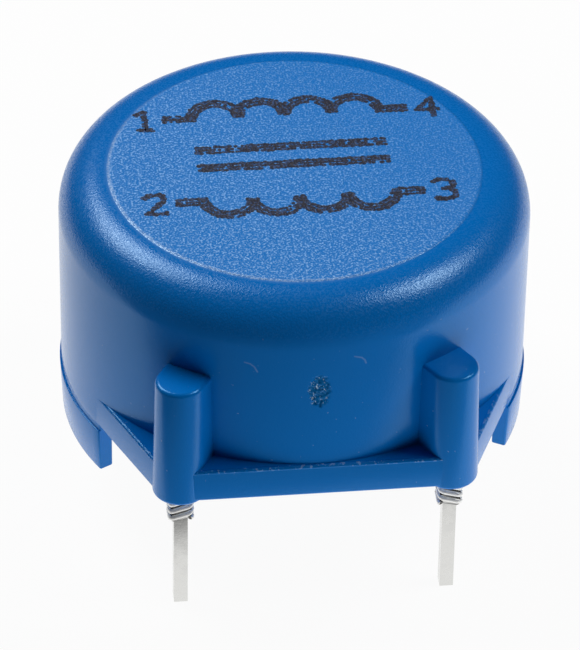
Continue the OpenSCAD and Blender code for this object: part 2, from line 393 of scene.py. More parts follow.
def addFlange(shape):
    outline = flangeOutline()
    low, high = case["footHeight"], case["footHeight"] + case["flangeThick"]
    rings = roundedRings(outline, low, high, case["flangeEdge"])
    # a ring just above the flat top ends the band of worn edge
    inset = case["flangeEdge"] + case["wornBand"]
    rings.append([p - polar(inset, a) + Vector((0, 0, high + case["wornRise"])) for p, a in outline])
    innerR = cavityR + case["wall"] / 3
    inner = [[polar(innerR, math.atan2(p.y, p.x), z) for p, a in outline] for z in (high, low)]
    shape.loft(rings + inner, joinEnds=True)


def addPost(shape, signX, signY):
    # tongue with a round nose about the pin and flat sides that run back into the wall
    reach = math.hypot(pinX, pinY)
    back = cavityR + case["wall"] / 2
    nose = [math.radians(-90 + 180 * i / 24) for i in range(25)]
    local = [(Vector((back, -postLowR, 0)), -math.pi / 2)]
    local += [(Vector((reach, 0, 0)) + polar(postLowR, t), t) for t in nose]
    local += [(Vector((back, postLowR, 0)), math.pi / 2)]
    turn = math.atan2(signY * pinY, signX * pinX)
    outline = [(Matrix.Rotation(turn, 3, "Z") @ p, a + turn) for p, a in local]
    shape.loft(roundedRings(outline, postLow, case["postTop"], case["postEdge"], 6, postDraft))


def addFoot(shape, sign):
    ledgeZ = case["footHeight"] - case["ledgeDrop"]
    ledgeR = baseR + case["footProud"]
    outside = ledgeR - footDraft * ledgeZ
    inside = outside - case["footThick"]
    top = case["footHeight"] + case["flangeThick"] / 2
    edge, ledgeEdge, anchor = (case[k] for k in ("footEdge", "ledgeEdge", "footAnchor"))

    def ring(angle, inset):
        section = arcPoints((outside - edge, edge), edge - inset, -90, 0, 3)
        section += arcPoints((ledgeR - inset - ledgeEdge, ledgeZ - ledgeEdge), ledgeEdge, 0, 90, 3)
        flush = baseR - inset - case["seam"]
        section += [(flush, ledgeZ), (flush, case["footHeight"] + anchor)]
        section += [(baseR - anchor, top), (inside + inset, top)]
        section += arcPoints((inside + edge, edge), edge - inset, 180, 270, 3)
        return [polar(r, angle, z) for r, z in section]

    half = math.radians(case["footAngle"] / 2)
    middle = 0 if sign > 0 else math.pi
    bevel = edge / outside
    rings = [ring(middle - half, 0.06), ring(middle - half + bevel * 0.4, 0.02)]
    rings += [ring(middle - half + bevel + 2 * (half - bevel) * i / 24, 0) for i in range(25)]
    rings += [ring(middle + half - bevel * 0.4, 0.02), ring(middle + half, 0.06)]
    shape.loft(rings)


def addWeb(shape):
    halfX, halfY = case["webThick"] / 2, coreHoleR - case["webGap"]
    plan = [(-halfX, -halfY), (halfX, -halfY), (halfX, halfY), (-halfX, halfY)]
    shape.loft([[(x, y, z) for x, y in plan] for z in (coreLow.z - case["webDrop"], ceiling + case["webAnchor"])])


def markPoints(mesh):
    # per point, how much of the torn gate or of the flange's upper edge it belongs to
    scars = mesh.attributes.new("gateScar", "FLOAT", "POINT")
    edges = mesh.attributes.new("wornEdge", "FLOAT", "POINT")
    edgeTopZ = case["footHeight"] + case["flangeThick"]
    for vert, scar, edge in zip(mesh.vertices, scars.data, edges.data):
        p = vert.co / mm
        if p.y < -cavityR and p.z < wallTop:
            scar.value = gateShare(math.atan2(p.y, p.x), p.z)
        onEdge = edgeTopZ - case["wornDepth"] < p.z < edgeTopZ + case["wornRise"] / 2
        if onEdge and p.xy.length > baseR + case["wornFrom"]:
            edge.value = 1.0


def buildCase():
    shape = Shape()
    addCup(shape)
    addFlange(shape)
    for signX, signY in corners.values():
        addPost(shape, signX, signY)
    for sign in sides.values():
        addFoot(shape, sign)
    addWeb(shape)
    obj = shape.toObject("mouldedCase")
    markPoints(obj.data)
    return obj


casePlastic = {
    "blue": (0.0, 0.15, 0.52, 1),
    "topBlue": (0.0, 0.175, 0.59, 1),
    # pale specks of the disc's grain, partly painted glints
    "topPale": (0.27, 0.52, 0.95, 1),
    # painted highlight on the disc's rim
    "rimHighlight": (0.36, 0.56, 0.92, 1),
    "scarDark": (0.0, 0.125, 0.38, 1),
    "scarPale": (0.5, 0.7, 0.9, 1),
    "pale": (0.45, 0.55, 0.7, 1),
    "wallRough": 0.18,
    "edgeRough": (0.38, 0.15),     # dull and bright specks on the rounded edge
    "discRough": 0.15,             # added on the disc
    "outsideRough": 0.05,          # added on the posts and the flange
    "specks": (0.47, 0.67),        # ranges of the grain where a mark shows
    "dust": (0.73, 0.78),
    "torn": (0.59, 0.65),
    # pale specks on the flange's upper edge, partly chips and partly painted glints
    "chipsAndGlints": (0.56, 0.64),
    "markShare": 0.28,
    "chipAndGlintShare": 0.3,
    "scratchWidth": 0.00006,
    "refraction": 1.6,
    "wallSheen": (0.22, 0.62, 0.95, 1),
    "edgeSheen": (0.52, 0.78, 1.0, 1),
}
# fine arcs that were scratched into the wall, as points in millimetres
scratches = {
    "left": [(-3.37, -10.45, 10.03), (-3.12, -10.53, 9.98), (-2.94, -10.58, 9.83), (-2.81, -10.62, 9.57)],
    "right": [(1.57, -10.87, 10.34), (1.90, -10.82, 10.21), (2.04, -10.79, 10.05), (2.10, -10.78, 9.86)],
}


def buildStroke():
    # mask of a short line between two points of the surface
    group, inside, outside = makeGroup(
        "scratchStroke",
        {"From": ("NodeSocketVector", (0, 0, 0)), "To": ("NodeSocketVector", (0, 0, 0)),
         "Width": ("NodeSocketFloat", 0.00005)},
        {"Mask": "NodeSocketFloat"},
    )

    def vectorNode(operation, first, second, output=0):
        node = addNode(group, "ShaderNodeVectorMath", operation=operation)
        group.links.new(first, node.inputs[0])
        group.links.new(second, node.inputs["Scale"] if operation == "SCALE" else node.inputs[1])
        return node.outputs[output]

    coords = group.nodes.new("ShaderNodeTexCoord")
    offset = vectorNode("SUBTRACT", coords.outputs["Object"], inside.outputs["From"])
    run = vectorNode("SUBTRACT", inside.outputs["To"], inside.outputs["From"])
    along, length = vectorNode("DOT_PRODUCT", offset, run, 1), vectorNode("DOT_PRODUCT", run, run, 1)
    share = mathNode(group, "DIVIDE", along, length, clamp=True)
    gap = vectorNode("DISTANCE", offset, vectorNode("SCALE", run, share), 1)
    near = mathNode(group, "SUBTRACT", 1.0, mathNode(group, "DIVIDE", gap, inside.outputs["Width"]), clamp=True)
    group.links.new(near, outside.inputs["Mask"])
    return group


def casePlasticMaterial():
    mat, tree, bsdf = newMaterial("casePlastic")
    _, x, y, z = objectCoords(tree)
    grain = useGroup(tree, grainGroup, Fine=10000.0, Coarse=4500.0, Share=0.2)
    height, patch = grain.outputs["Height"], grain.outputs["Patch"]
    # the disc on top is grained more than the rest; its pale specks are partly painted glints, with a painted sheen
    # that makes them fewer at the back right
    level = rampNode(tree, z, (edgeTop + 0.005) * mm, (discZ - 0.004) * mm)
    grained = rampNode(tree, z, (wallTop + 0.2) * mm, (wallTop + 1.0) * mm)
    # rises towards the front left, where the painted sheen and the painted rim highlight are strongest
    wornAndLit = mathNode(tree, "ADD", mathNode(tree, "MULTIPLY", x, -0.8), mathNode(tree, "MULTIPLY", y, -0.6))
    speckShare = mathNode(tree, "MULTIPLY", rampNode(tree, height, *casePlastic["specks"]),
                          rampNode(tree, wornAndLit, -0.008, 0.004, 0.45, 1.05))
    specks = mixColour(tree, speckShare, casePlastic["topBlue"], casePlastic["topPale"])
    colour = mixColour(tree, level, casePlastic["blue"], specks)
    # painted highlight along the rim of the disc, speckled and strongest at the front left
    rim = mathNode(tree, "MULTIPLY", rampNode(tree, z, (edgeTop - 0.004) * mm, (edgeTop + 0.012) * mm),
                   rampNode(tree, z, (discZ - 0.012) * mm, (discZ - 0.002) * mm, 1.0, 0.0))
    rim = mathNode(tree, "MULTIPLY", rim, rampNode(tree, height, 0.4, 0.6, 0.15, 0.9))
    rim = mathNode(tree, "MULTIPLY", rim, rampNode(tree, wornAndLit, -0.002, 0.007))
    colour = mixColour(tree, rim, colour, casePlastic["rimHighlight"])
    # scratches and dust on the wall
    stroke = buildStroke()
    marks = mathNode(tree, "MULTIPLY", rampNode(tree, patch, *casePlastic["dust"]),
                     mathNode(tree, "SUBTRACT", 1.0, grained))
    for points in scratches.values():
        for a, b in zip(points, points[1:]):
            line = useGroup(tree, stroke, From=Vector(a) * mm, To=Vector(b) * mm, Width=casePlastic["scratchWidth"])
            marks = mathNode(tree, "MAXIMUM", marks, line.outputs[0])
    colour = mixColour(tree, mathNode(tree, "MULTIPLY", marks, casePlastic["markShare"]), colour, casePlastic["pale"])
    # torn gate, and pale specks on the flange's upper edge, partly chips and partly painted glints of its highlight
    scar = addNode(tree, "ShaderNodeAttribute", attribute_name="gateScar")
    torn = rampNode(tree, height, *casePlastic["torn"])
    scarColour = mixColour(tree, torn, casePlastic["scarDark"], casePlastic["scarPale"])
    colour = mixColour(tree, scar.outputs["Fac"], colour, scarColour)
    edge = addNode(tree, "ShaderNodeAttribute", attribute_name="wornEdge")
    chipsAndGlints = mathNode(tree, "MULTIPLY", edge.outputs["Fac"], rampNode(tree, patch, *casePlastic["chipsAndGlints"]))
    chipsAndGlints = mathNode(tree, "MULTIPLY", chipsAndGlints, casePlastic["chipAndGlintShare"])
    colour = mixColour(tree, chipsAndGlints, colour, casePlastic["scarPale"])
    tree.links.new(colour, bsdf.inputs["Base Color"])
    uneven = rampNode(tree, height, 0.38, 0.62, *casePlastic["edgeRough"])
    roughness = addNode(tree, "ShaderNodeMix")
    roughness.inputs[2].default_value = casePlastic["wallRough"]
    tree.links.new(grained, roughness.inputs[0])
    tree.links.new(uneven, roughness.inputs[3])
    square = mathNode(tree, "MULTIPLY_ADD", x, x, mathNode(tree, "MULTIPLY", y, y))
    outside = rampNode(tree, mathNode(tree, "SQRT", square), (caseR + 0.02) * mm, (caseR + 0.2) * mm)
    roughness = mathNode(tree, "MULTIPLY_ADD", level, casePlastic["discRough"], roughness.outputs[0])
    roughness = mathNode(tree, "MULTIPLY_ADD", rim, -0.2, roughness)
    roughness = mathNode(tree, "MULTIPLY_ADD", outside, casePlastic["outsideRough"], roughness)
    tree.links.new(roughness, bsdf.inputs["Roughness"])
    depth = mathNode(tree, "MULTIPLY_ADD", level, 0.6, mathNode(tree, "MULTIPLY_ADD", grained, 0.12, 0.08))
    depth = mathNode(tree, "MULTIPLY_ADD", edge.outputs["Fac"], 0.4, depth)
    linkBump(tree, bsdf, mathNode(tree, "MULTIPLY", height, depth), 0.9, 0.00012)
    bsdf.inputs["IOR"].default_value = casePlastic["refraction"]
    sheen = mixColour(tree, grained, casePlastic["wallSheen"], casePlastic["edgeSheen"])
    tree.links.new(sheen, bsdf.inputs["Specular Tint"])
    return mat


moulding = buildCase()
moulding.data.materials.append(casePlasticMaterial())
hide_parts("case")
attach(moulding, "root")
print("case built:", len(moulding.data.polygons), "faces")


# Wires: windings and wraps are round wires along a path of straight runs

wire = {"diameter": 0.28, "coreGap": 0.05, "tailGap": 0.05, "fitGap": 0.02, "sides": 14,
        "bend": 0.42, "bendSteps": 5}
winding = {"turns": 30, "angle": 146, "lead": 0.5}
wrap = {"turns": 3, "gap": 0.12, "tilt": 0.12, "bend": 0.12, "solderReach": 0.17,
        "groove": (0.15, 0.18), "grooveDark": (0.03, 0.03, 0.03, 1)}

wireR = wire["diameter"] / 2
wireOff = wire["coreGap"] + wireR
wireTop, wireLow = coreHigh.z + wireOff, coreLow.z - wireOff
wireOut = coreHigh.x + wireOff
wireIn = coreHoleR - wireOff
tailZ = postLow - wire["tailGap"] - wireR
wrapR = wireR + wire["fitGap"]
firstTurn = math.radians(180 + winding["angle"] / 2)
turnStep = math.radians(winding["angle"]) / winding["turns"]


def newGeometryTree(name, inputs):
    # an empty node tree with named inputs, and its input and output nodes
    tree = bpy.data.node_groups.new(name, "GeometryNodeTree")
    for label, kind in {"Geometry": "Geometry", **inputs}.items():
        tree.interface.new_socket(label, in_out="INPUT", socket_type="NodeSocket" + kind)
    tree.interface.new_socket("Geometry", in_out="OUTPUT", socket_type="NodeSocketGeometry")
    return tree, tree.nodes.new("NodeGroupInput"), tree.nodes.new("NodeGroupOutput")


def setMode(node, mode):
    # the mode is a socket in some versions and a setting in others
    if "Mode" in node.inputs:
        node.inputs["Mode"].default_value = mode
    else:
        node.mode = mode.upper()


def buildWireNodes():
    # a path of edges becomes a round wire with bent corners
    tree, start, stop = newGeometryTree("wireAlongPath", {
        "Wire Radius": "Float", "Bend Radius": "Float", "Sides": "Int", "Bend Steps": "Int", "Material": "Material"})
    toCurve = tree.nodes.new("GeometryNodeMeshToCurve")
    fillet = tree.nodes.new("GeometryNodeFilletCurve")
    section = tree.nodes.new("GeometryNodeCurvePrimitiveCircle")
    toMesh = tree.nodes.new("GeometryNodeCurveToMesh")
    realize = tree.nodes.new("GeometryNodeRealizeInstances")
    setMaterial = tree.nodes.new("GeometryNodeSetMaterial")
    setMode(fillet, "Poly")
    fillet.inputs["Limit Radius"].default_value = True
    toMesh.inputs["Fill Caps"].default_value = True
    links = (
        (start.outputs["Geometry"], toCurve.inputs[0]),
        (toCurve.outputs[0], fillet.inputs["Curve"]),
        (start.outputs["Bend Radius"], fillet.inputs["Radius"]),
        (start.outputs["Bend Steps"], fillet.inputs["Count"]),
        (start.outputs["Sides"], section.inputs["Resolution"]),
        (start.outputs["Wire Radius"], section.inputs["Radius"]),
        (fillet.outputs[0], toMesh.inputs["Curve"]),
        (section.outputs["Curve"], toMesh.inputs["Profile Curve"]),
        (toMesh.outputs[0], realize.inputs[0]),
        (realize.outputs[0], setMaterial.inputs["Geometry"]),
        (start.outputs["Material"], setMaterial.inputs["Material"]),
        (setMaterial.outputs[0], stop.inputs[0]),
    )
    for out, into in links:
        tree.links.new(out, into)
    return tree


wireNodes = buildWireNodes()


def socketId(tree, label):
    return next(s.identifier for s in tree.interface.items_tree if s.name == label and s.in_out == "INPUT")


def bakeNodes(name, mesh, tree, values, smoothAngle=40):
    # runs a node tree on a mesh and keeps the result as a plain mesh object
    source = addObject(name + "Path", mesh)
    modifier = source.modifiers.new("nodes", "NODES")
    modifier.node_group = tree
    for label, value in values.items():
        modifier[socketId(tree, label)] = value
    source.update_tag()
    graph = bpy.context.evaluated_depsgraph_get()
    result = bpy.data.meshes.new_from_object(source.evaluated_get(graph), depsgraph=graph)
    result.name = name
    bpy.data.objects.remove(source)
    return addObject(name, result, smoothAngle)


def pathMesh(name, points):
    mesh = bpy.data.meshes.new(name)
    mesh.from_pydata([Vector(p) * mm for p in points], [(i, i + 1) for i in range(len(points) - 1)], [])
    return mesh


def wireAlong(name, points, material, bend):
    values = {"Wire Radius": wireR * mm, "Bend Radius": bend * mm, "Sides": wire["sides"],
              "Bend Steps": wire["bendSteps"], "Material": material}
    return bakeNodes(name, pathMesh(name, points), wireNodes, values)


def onRing(radius, turn, z):
    return polar(radius, firstTurn - turn * turnStep, z)


wrapEntry = Vector((-pinX, -pinY, 0)) + (pinHalf + wrapR * math.cos(math.pi / 4)) * Vector((1, -1, 0))
tailRoot = onRing(wireOut, 0, 0)
tailEnd = wrapEntry - winding["lead"] * (wrapEntry - tailRoot).normalized()


def windingPath():
    turns = winding["turns"]
    path = [Vector((tailEnd.x, tailEnd.y, tailZ)), onRing(wireOut, 0, tailZ)]
    for i in range(turns):
        path += [onRing(wireOut, i, wireTop), onRing(wireIn, i, wireTop),
                 onRing(wireIn, i, wireLow), onRing(wireOut, i + 1, wireLow)]
    return path + [onRing(wireOut, turns, tailZ), Vector((tailEnd.x, -tailEnd.y, tailZ))]


def wrapTilt(at):
    # the turns slope down away from the middle of the part
    return Vector((0, 0, wrap["tilt"] * ((at.x + pinX) / (pinHalf + wireR) - 1)))


def wrapPath():
    # down round the pin from the tail's end, with three points to each edge of the pin
    path = [Vector((tailEnd.x, tailEnd.y, tailZ))]
    pitch = wire["diameter"] + wrap["gap"]
    for k in range(1, wrap["turns"] * 12 + 2):
        edge = math.radians(-45 - 90 * (k // 3))
        turn = math.radians(-90 * (k // 3) - 45 * (k % 3))
        at = Vector((-pinX, -pinY, 0)) + polar(pinHalf * math.sqrt(2), edge) + polar(wrapR, turn)
        path.append(at + wrapTilt(at) + Vector((0, 0, tailZ - pitch * (k - 1) / 12)))
    return path


def enamelMaterial():
    mat, tree, bsdf = newMaterial("copperEnamel")
    bsdf.inputs["Base Color"].default_value = (0.47, 0.17, 0.055, 1)
    bsdf.inputs["Metallic"].default_value = 0.85
    bsdf.inputs["Coat Weight"].default_value = 0.6
    bsdf.inputs["Coat Roughness"].default_value = 0.15
    grain = useGroup(tree, grainGroup, Fine=3000.0, Coarse=700.0, Share=0.5)
    tree.links.new(rampNode(tree, grain.outputs["Patch"], 0.35, 0.65, 0.24, 0.36), bsdf.inputs["Roughness"])
    return mat


def pinDistance(tree):
    # distance from the nearest pin's axis along x or y, whichever is larger
    _, x, y, _ = objectCoords(tree)
    gaps = []
    for socket, at in ((x, pinX), (y, pinY)):
        offset = mathNode(tree, "SUBTRACT", mathNode(tree, "ABSOLUTE", socket), at * mm)
        gaps.append(mathNode(tree, "ABSOLUTE", offset))
    return mathNode(tree, "MAXIMUM", *gaps)


def tinMaterial(name, colour, low, high, metallic, grooves=False):
    mat, tree, bsdf = newMaterial(name)
    bsdf.inputs["Metallic"].default_value = metallic
    grain = useGroup(tree, grainGroup, Fine=9000.0, Coarse=1800.0, Share=0.6)
    shade = [c * 0.86 for c in colour[:3]] + [1]
    tin = mixColour(tree, grain.outputs["Patch"], shade, colour)
    if grooves:
        # little light gets in between the turns
        near, far = ((pinHalf + v) * mm for v in wrap["groove"])
        outer = rampNode(tree, pinDistance(tree), near, far)
        tin = mixColour(tree, outer, wrap["grooveDark"], tin)
    tree.links.new(tin, bsdf.inputs["Base Color"])
    tree.links.new(rampNode(tree, grain.outputs["Patch"], 0.3, 0.7, low, high), bsdf.inputs["Roughness"])
    linkBump(tree, bsdf, grain.outputs["Height"], 0.25, 0.00003)
    return mat


def mirrored(obj, name, signX, signY):
    # a mirrored copy, with its place in its mesh
    mesh = obj.data.copy()
    mesh.name = name
    mesh.transform(Matrix.Diagonal((signX, signY, 1, 1)))
    if signX * signY < 0:
        mesh.flip_normals()
    return addObject(name, mesh)


enamel = enamelMaterial()
leftWinding = wireAlong("leftWinding", windingPath(), enamel, wire["bend"])
rightWinding = mirrored(leftWinding, "rightWinding", -1, 1)
for obj, node in ((leftWinding, "left_winding"), (rightWinding, "right_winding")):
    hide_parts(node)
    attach(obj, "root")
print("windings built:", len(leftWinding.data.polygons), "faces each")


def addSolder():
    # solder that fills the grooves between the turns
    pitch = wire["diameter"] + wrap["gap"]
    low = tailZ - pitch * wrap["turns"]
    levels = [(tailZ + wireR * 0.6, 0.5), (tailZ, 0.9), (low + 0.1, 1.0), (low - wireR * 0.5, 0.03)]
    shape = Shape()
    rings = []
    for z, share in levels:
        reach = wrap["solderReach"] * share
        ring = []
        for k in range(24):
            corner = k // 6
            edge = math.radians(45 + 90 * corner)
            turn = math.radians(90 * corner + 90 * (k % 6) / 5)
            at = Vector((-pinX, -pinY, 0)) + polar(pinHalf * math.sqrt(2) * 0.98, edge) + polar(reach, turn)
            wobble = 0.02 * noise.noise(Vector((k * 0.7, z * 3, 2.2)))
            ring.append(at + wrapTilt(at) + polar(wobble, turn) + Vector((0, 0, z)))
        rings.append(ring)
    shape.loft(rings)
    return shape.toObject("solder", 60)


tinnedWire = tinMaterial("tinnedWire", (0.97, 0.97, 0.94, 1), 0.26, 0.36, 0.3, grooves=True)
tinnedPin = tinMaterial("tinnedPin", (0.78, 0.78, 0.76, 1), 0.2, 0.34, 1.0)


def joined(first, second, name):
    # two objects' meshes as one
    bm = bmesh.new()
    for obj in (first, second):
        bm.from_mesh(obj.data)
    mesh = bpy.data.meshes.new(name)
    bm.to_mesh(mesh)
    bm.free()
    mesh.materials.append(first.data.materials[0])
    bpy.data.objects.remove(first)
    bpy.data.objects.remove(second)
    return addObject(name, mesh, 50)


def buildWraps():
    turns = wireAlong("wrapCoil", wrapPath(), tinnedWire, wrap["bend"])
    first = joined(turns, addSolder(), "wireWrapFrontLeft")
    wraps = {"front_left": first}
    for name, (signX, signY) in corners.items():
        if name != "front_left":
            label = "wireWrap" + name.title().replace("_", "")
            wraps[name] = mirrored(first, label, 1 if signX < 0 else -1, 1 if signY < 0 else -1)
    return wraps


for name, obj in buildWraps().items():
    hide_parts("wire_wrap_" + name)
    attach(obj, "root")
    pin = nodes["pin_" + name]
    pin.data.materials.clear()
    pin.data.materials.append(tinnedPin)
print("pins and wraps built")


# Print: the sign of a coil pair and the numbers of its pins, in dots of ink on the disc

ink = {"pitch": 0.15, "dot": 0.125, "jitter": 0.035, "kept": 0.93, "seed": 7, "sides": 8, "digitHeight": 1.5,
       "lines": (-0.21, 0.0, 0.21), "digitLines": (-0.06, 0.06)}
coil = {"humps": 4, "radius": 1.1, "lead": 1.3, "rows": (4.3, -2.3), "bars": (1.7, 0.3), "digitAt": 6.7}
# strokes of the numbers in a box of height 1
digits = {
    "1": [[(0.1, 0.8), (0.35, 1), (0.35, 0)], [(0.1, 0), (0.6, 0)]],
    "2": [[(0, 0.8), (0.12, 0.95), (0.3, 1), (0.5, 0.95), (0.6, 0.78), (0.55, 0.6), (0, 0), (0.62, 0)]],
    "3": [[(0, 0.9), (0.15, 1), (0.45, 1), (0.6, 0.85), (0.6, 0.65), (0.45, 0.53), (0.25, 0.53)],
          [(0.45, 0.53), (0.62, 0.38), (0.62, 0.15), (0.45, 0), (0.15, 0), (0, 0.1)]],
    "4": [[(0.48, 0), (0.48, 1), (0, 0.35), (0.65, 0.35)]],
}


def beside(points, gap):
    # the same stroke, moved sideways by a gap
    moved = []
    for i, p in enumerate(points):
        run = Vector(points[min(i + 1, len(points) - 1)]) - Vector(points[max(i - 1, 0)])
        moved.append(Vector(p) + gap * Vector((-run.y, run.x)).normalized())
    return moved


def coilStroke(y, sign):
    reach = coil["humps"] * coil["radius"]
    points = [(-reach - coil["lead"], y)]
    for h in range(coil["humps"]):
        middle = (2 * h + 1) * coil["radius"] - reach
        turn = [math.pi * (1 - i / 12) for i in range(13)]
        points += [(middle + coil["radius"] * math.cos(t), y + sign * coil["radius"] * math.sin(t)) for t in turn]
    return points + [(reach + coil["lead"], y)]


def printStrokes():
    strokes = []
    reach = coil["humps"] * coil["radius"]
    for y, sign in zip(coil["rows"], (1, -1)):
        strokes += [beside(coilStroke(y, sign), gap) for gap in ink["lines"]]
    for y in coil["bars"]:
        strokes += [[(-reach, y + gap), (reach, y + gap)] for gap in ink["lines"]]
    places = {"1": (-1, 0), "2": (-1, 1), "3": (1, 1), "4": (1, 0)}
    for name, (side, row) in places.items():
        size = ink["digitHeight"]
        corner = Vector((side * coil["digitAt"] - 0.31 * size, coil["rows"][row] - 0.5 * size))
        for line in digits[name]:
            strokes += [beside([corner + size * Vector(p) for p in line], gap) for gap in ink["digitLines"]]
    return strokes


def strokeMesh(strokes):
    points, edges = [], []
    for line in strokes:
        edges += [(len(points) + i, len(points) + i + 1) for i in range(len(line) - 1)]
        points += [Vector((p[0], p[1], topZ - case["ink"])) * mm for p in line]
    mesh = bpy.data.meshes.new("strokes")
    mesh.from_pydata(points, edges, [])
    return mesh


def buildInkNodes():
    # strokes become rows of small round dots, a little out of line and with some missing
    tree, start, stop = newGeometryTree("inkDots", {
        "Pitch": "Float", "Dot Radius": "Float", "Thickness": "Float", "Jitter": "Float", "Kept": "Float",
        "Sides": "Int", "Seed": "Int", "Material": "Material"})
    toCurve = tree.nodes.new("GeometryNodeMeshToCurve")
    resample = tree.nodes.new("GeometryNodeResampleCurve")
    dot = tree.nodes.new("GeometryNodeMeshCylinder")
    place = tree.nodes.new("GeometryNodeInstanceOnPoints")
    kept = tree.nodes.new("FunctionNodeRandomValue")
    size = tree.nodes.new("FunctionNodeRandomValue")
    shift = tree.nodes.new("FunctionNodeRandomValue")
    spread = tree.nodes.new("ShaderNodeVectorMath")
    move = tree.nodes.new("GeometryNodeTranslateInstances")
    realize = tree.nodes.new("GeometryNodeRealizeInstances")
    setMaterial = tree.nodes.new("GeometryNodeSetMaterial")
    setMode(resample, "Length")
    kept.data_type, size.data_type, shift.data_type = "BOOLEAN", "FLOAT", "FLOAT_VECTOR"
    spread.operation = "SCALE"
    size.inputs[2].default_value, size.inputs[3].default_value = 0.7, 1.15
    shift.inputs[0].default_value, shift.inputs[1].default_value = (-1, -1, 0), (1, 1, 0)
    links = [
        (start.outputs["Geometry"], toCurve.inputs[0]),
        (toCurve.outputs[0], resample.inputs["Curve"]),
        (start.outputs["Pitch"], resample.inputs["Length"]),
        (resample.outputs[0], place.inputs["Points"]),
        (start.outputs["Sides"], dot.inputs["Vertices"]),
        (start.outputs["Dot Radius"], dot.inputs["Radius"]),
        (start.outputs["Thickness"], dot.inputs["Depth"]),
        (dot.outputs["Mesh"], place.inputs["Instance"]),
        (start.outputs["Kept"], kept.inputs["Probability"]),
        (kept.outputs[3], place.inputs["Selection"]),
        (size.outputs[1], place.inputs["Scale"]),
        (shift.outputs[0], spread.inputs[0]),
        (start.outputs["Jitter"], spread.inputs["Scale"]),
        (place.outputs[0], move.inputs["Instances"]),
        (spread.outputs[0], move.inputs["Translation"]),
        (move.outputs[0], realize.inputs[0]),
        (realize.outputs[0], setMaterial.inputs["Geometry"]),
        (start.outputs["Material"], setMaterial.inputs["Material"]),
        (setMaterial.outputs[0], stop.inputs[0]),
    ]
    links += [(start.outputs["Seed"], node.inputs["Seed"]) for node in (kept, size, shift)]
    for out, into in links:
        tree.links.new(out, into)
    return tree


def inkMaterial():
    mat, tree, bsdf = newMaterial("printInk")
    grain = useGroup(tree, grainGroup, Fine=9000.0, Coarse=3500.0, Share=0.35)
    wornAndLit = rampNode(tree, grain.outputs["Height"], 0.5, 0.62)
    tree.links.new(mixColour(tree, wornAndLit, (0.012, 0.013, 0.03, 1), (0.03, 0.08, 0.22, 1)), bsdf.inputs["Base Color"])
    bsdf.inputs["Roughness"].default_value = 0.5
    linkBump(tree, bsdf, grain.outputs["Height"], 0.9, 0.00012)
    return mat


inkValues = {"Pitch": ink["pitch"] * mm, "Dot Radius": ink["dot"] * mm, "Thickness": 2 * case["ink"] * mm,
             "Jitter": ink["jitter"] * mm, "Kept": ink["kept"], "Sides": ink["sides"], "Seed": ink["seed"],
             "Material": inkMaterial()}
topPrint = bakeNodes("topPrint", strokeMesh(printStrokes()), buildInkNodes(), inkValues)
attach(topPrint, "root")
print("print built:", len(topPrint.data.polygons), "faces")


# Core and resin keep their solids and get their finish

finishes = {
    "ferrite_core": {
        "name": "ferrite", "grain": {"Fine": 6000.0, "Coarse": 1200.0, "Share": 0.4},
        "dark": (0.03, 0.031, 0.034, 1), "pale": (0.065, 0.066, 0.07, 1),
        "rough": 0.6, "strength": 0.3, "distance": 0.00004,
    },
    "casting_resin": {
        "name": "castingResin", "grain": {"Fine": 900.0, "Coarse": 260.0, "Share": 0.6},
        "dark": (0.52, 0.45, 0.31, 1), "pale": (0.62, 0.55, 0.40, 1),
        "rough": 0.32, "strength": 0.35, "distance": 0.0002,
    },
}


def finishMaterial(spec):
    mat, tree, bsdf = newMaterial(spec["name"])
    grain = useGroup(tree, grainGroup, **spec["grain"])
    tree.links.new(mixColour(tree, grain.outputs["Patch"], spec["dark"], spec["pale"]), bsdf.inputs["Base Color"])
    bsdf.inputs["Roughness"].default_value = spec["rough"]
    linkBump(tree, bsdf, grain.outputs["Height"], spec["strength"], spec["distance"])
    return mat


for name, spec in finishes.items():
    nodes[name].data.materials.clear()
    nodes[name].data.materials.append(finishMaterial(spec))
print("core and resin finished")


# Stage: white surroundings, soft lamps and a long lens

view = {"azimuth": -6.74, "elevation": 36.01, "roll": 0.948, "distance": 240.6, "focalPixels": 5187.0,
        "topPixel": (295.0, 167.2), "imageSize": (580, 650)}
# softboxes: direction from the part in degrees, counted from +X and up from the board
lamps = {
    "rightBox": {"azimuth": -5, "elevation": 53, "reach": 250, "size": 97, "power": 0.28},
    "backLeftBox": {"azimuth": 133, "elevation": 52, "reach": 250, "size": 125, "power": 0.4},
}
# glowing table under the part, which the camera and mirrored rays don't see
table = {"at": (24, -18, -4.1), "size": (90, 60), "glow": 1.1}


def addCamera():
    a, e, roll = (math.radians(view[k]) for k in ("azimuth", "elevation", "roll"))
    back = Vector((math.sin(a) * math.cos(e), -math.cos(a) * math.cos(e), math.sin(e)))
    level = Vector((math.cos(a), math.sin(a), 0))
    up = back.cross(level)
    right = level * math.cos(roll) + up * math.sin(roll)
    up = back.cross(right)
    # turned so that the middle of the top face lands on its pixel
    dx, dy = (view["imageSize"][i] / 2 - view["topPixel"][i] for i in (0, 1))
    forward = (-back + right * dx / view["focalPixels"] - up * dy / view["focalPixels"]).normalized()
    right = (right - forward * right.dot(forward)).normalized()
    up = right.cross(forward)
    camera = bpy.data.objects.new("camera", bpy.data.cameras.new("camera"))
    bpy.context.scene.collection.objects.link(camera)
    place = Matrix((right, up, -forward)).transposed().to_4x4()
    place.translation = (Vector((0, 0, topZ)) + back * view["distance"]) * mm
    camera.matrix_world = place
    camera.data.lens = view["focalPixels"] * camera.data.sensor_width / max(view["imageSize"])
    camera.data.clip_start, camera.data.clip_end = 0.01, 20
    bpy.context.scene.camera = camera


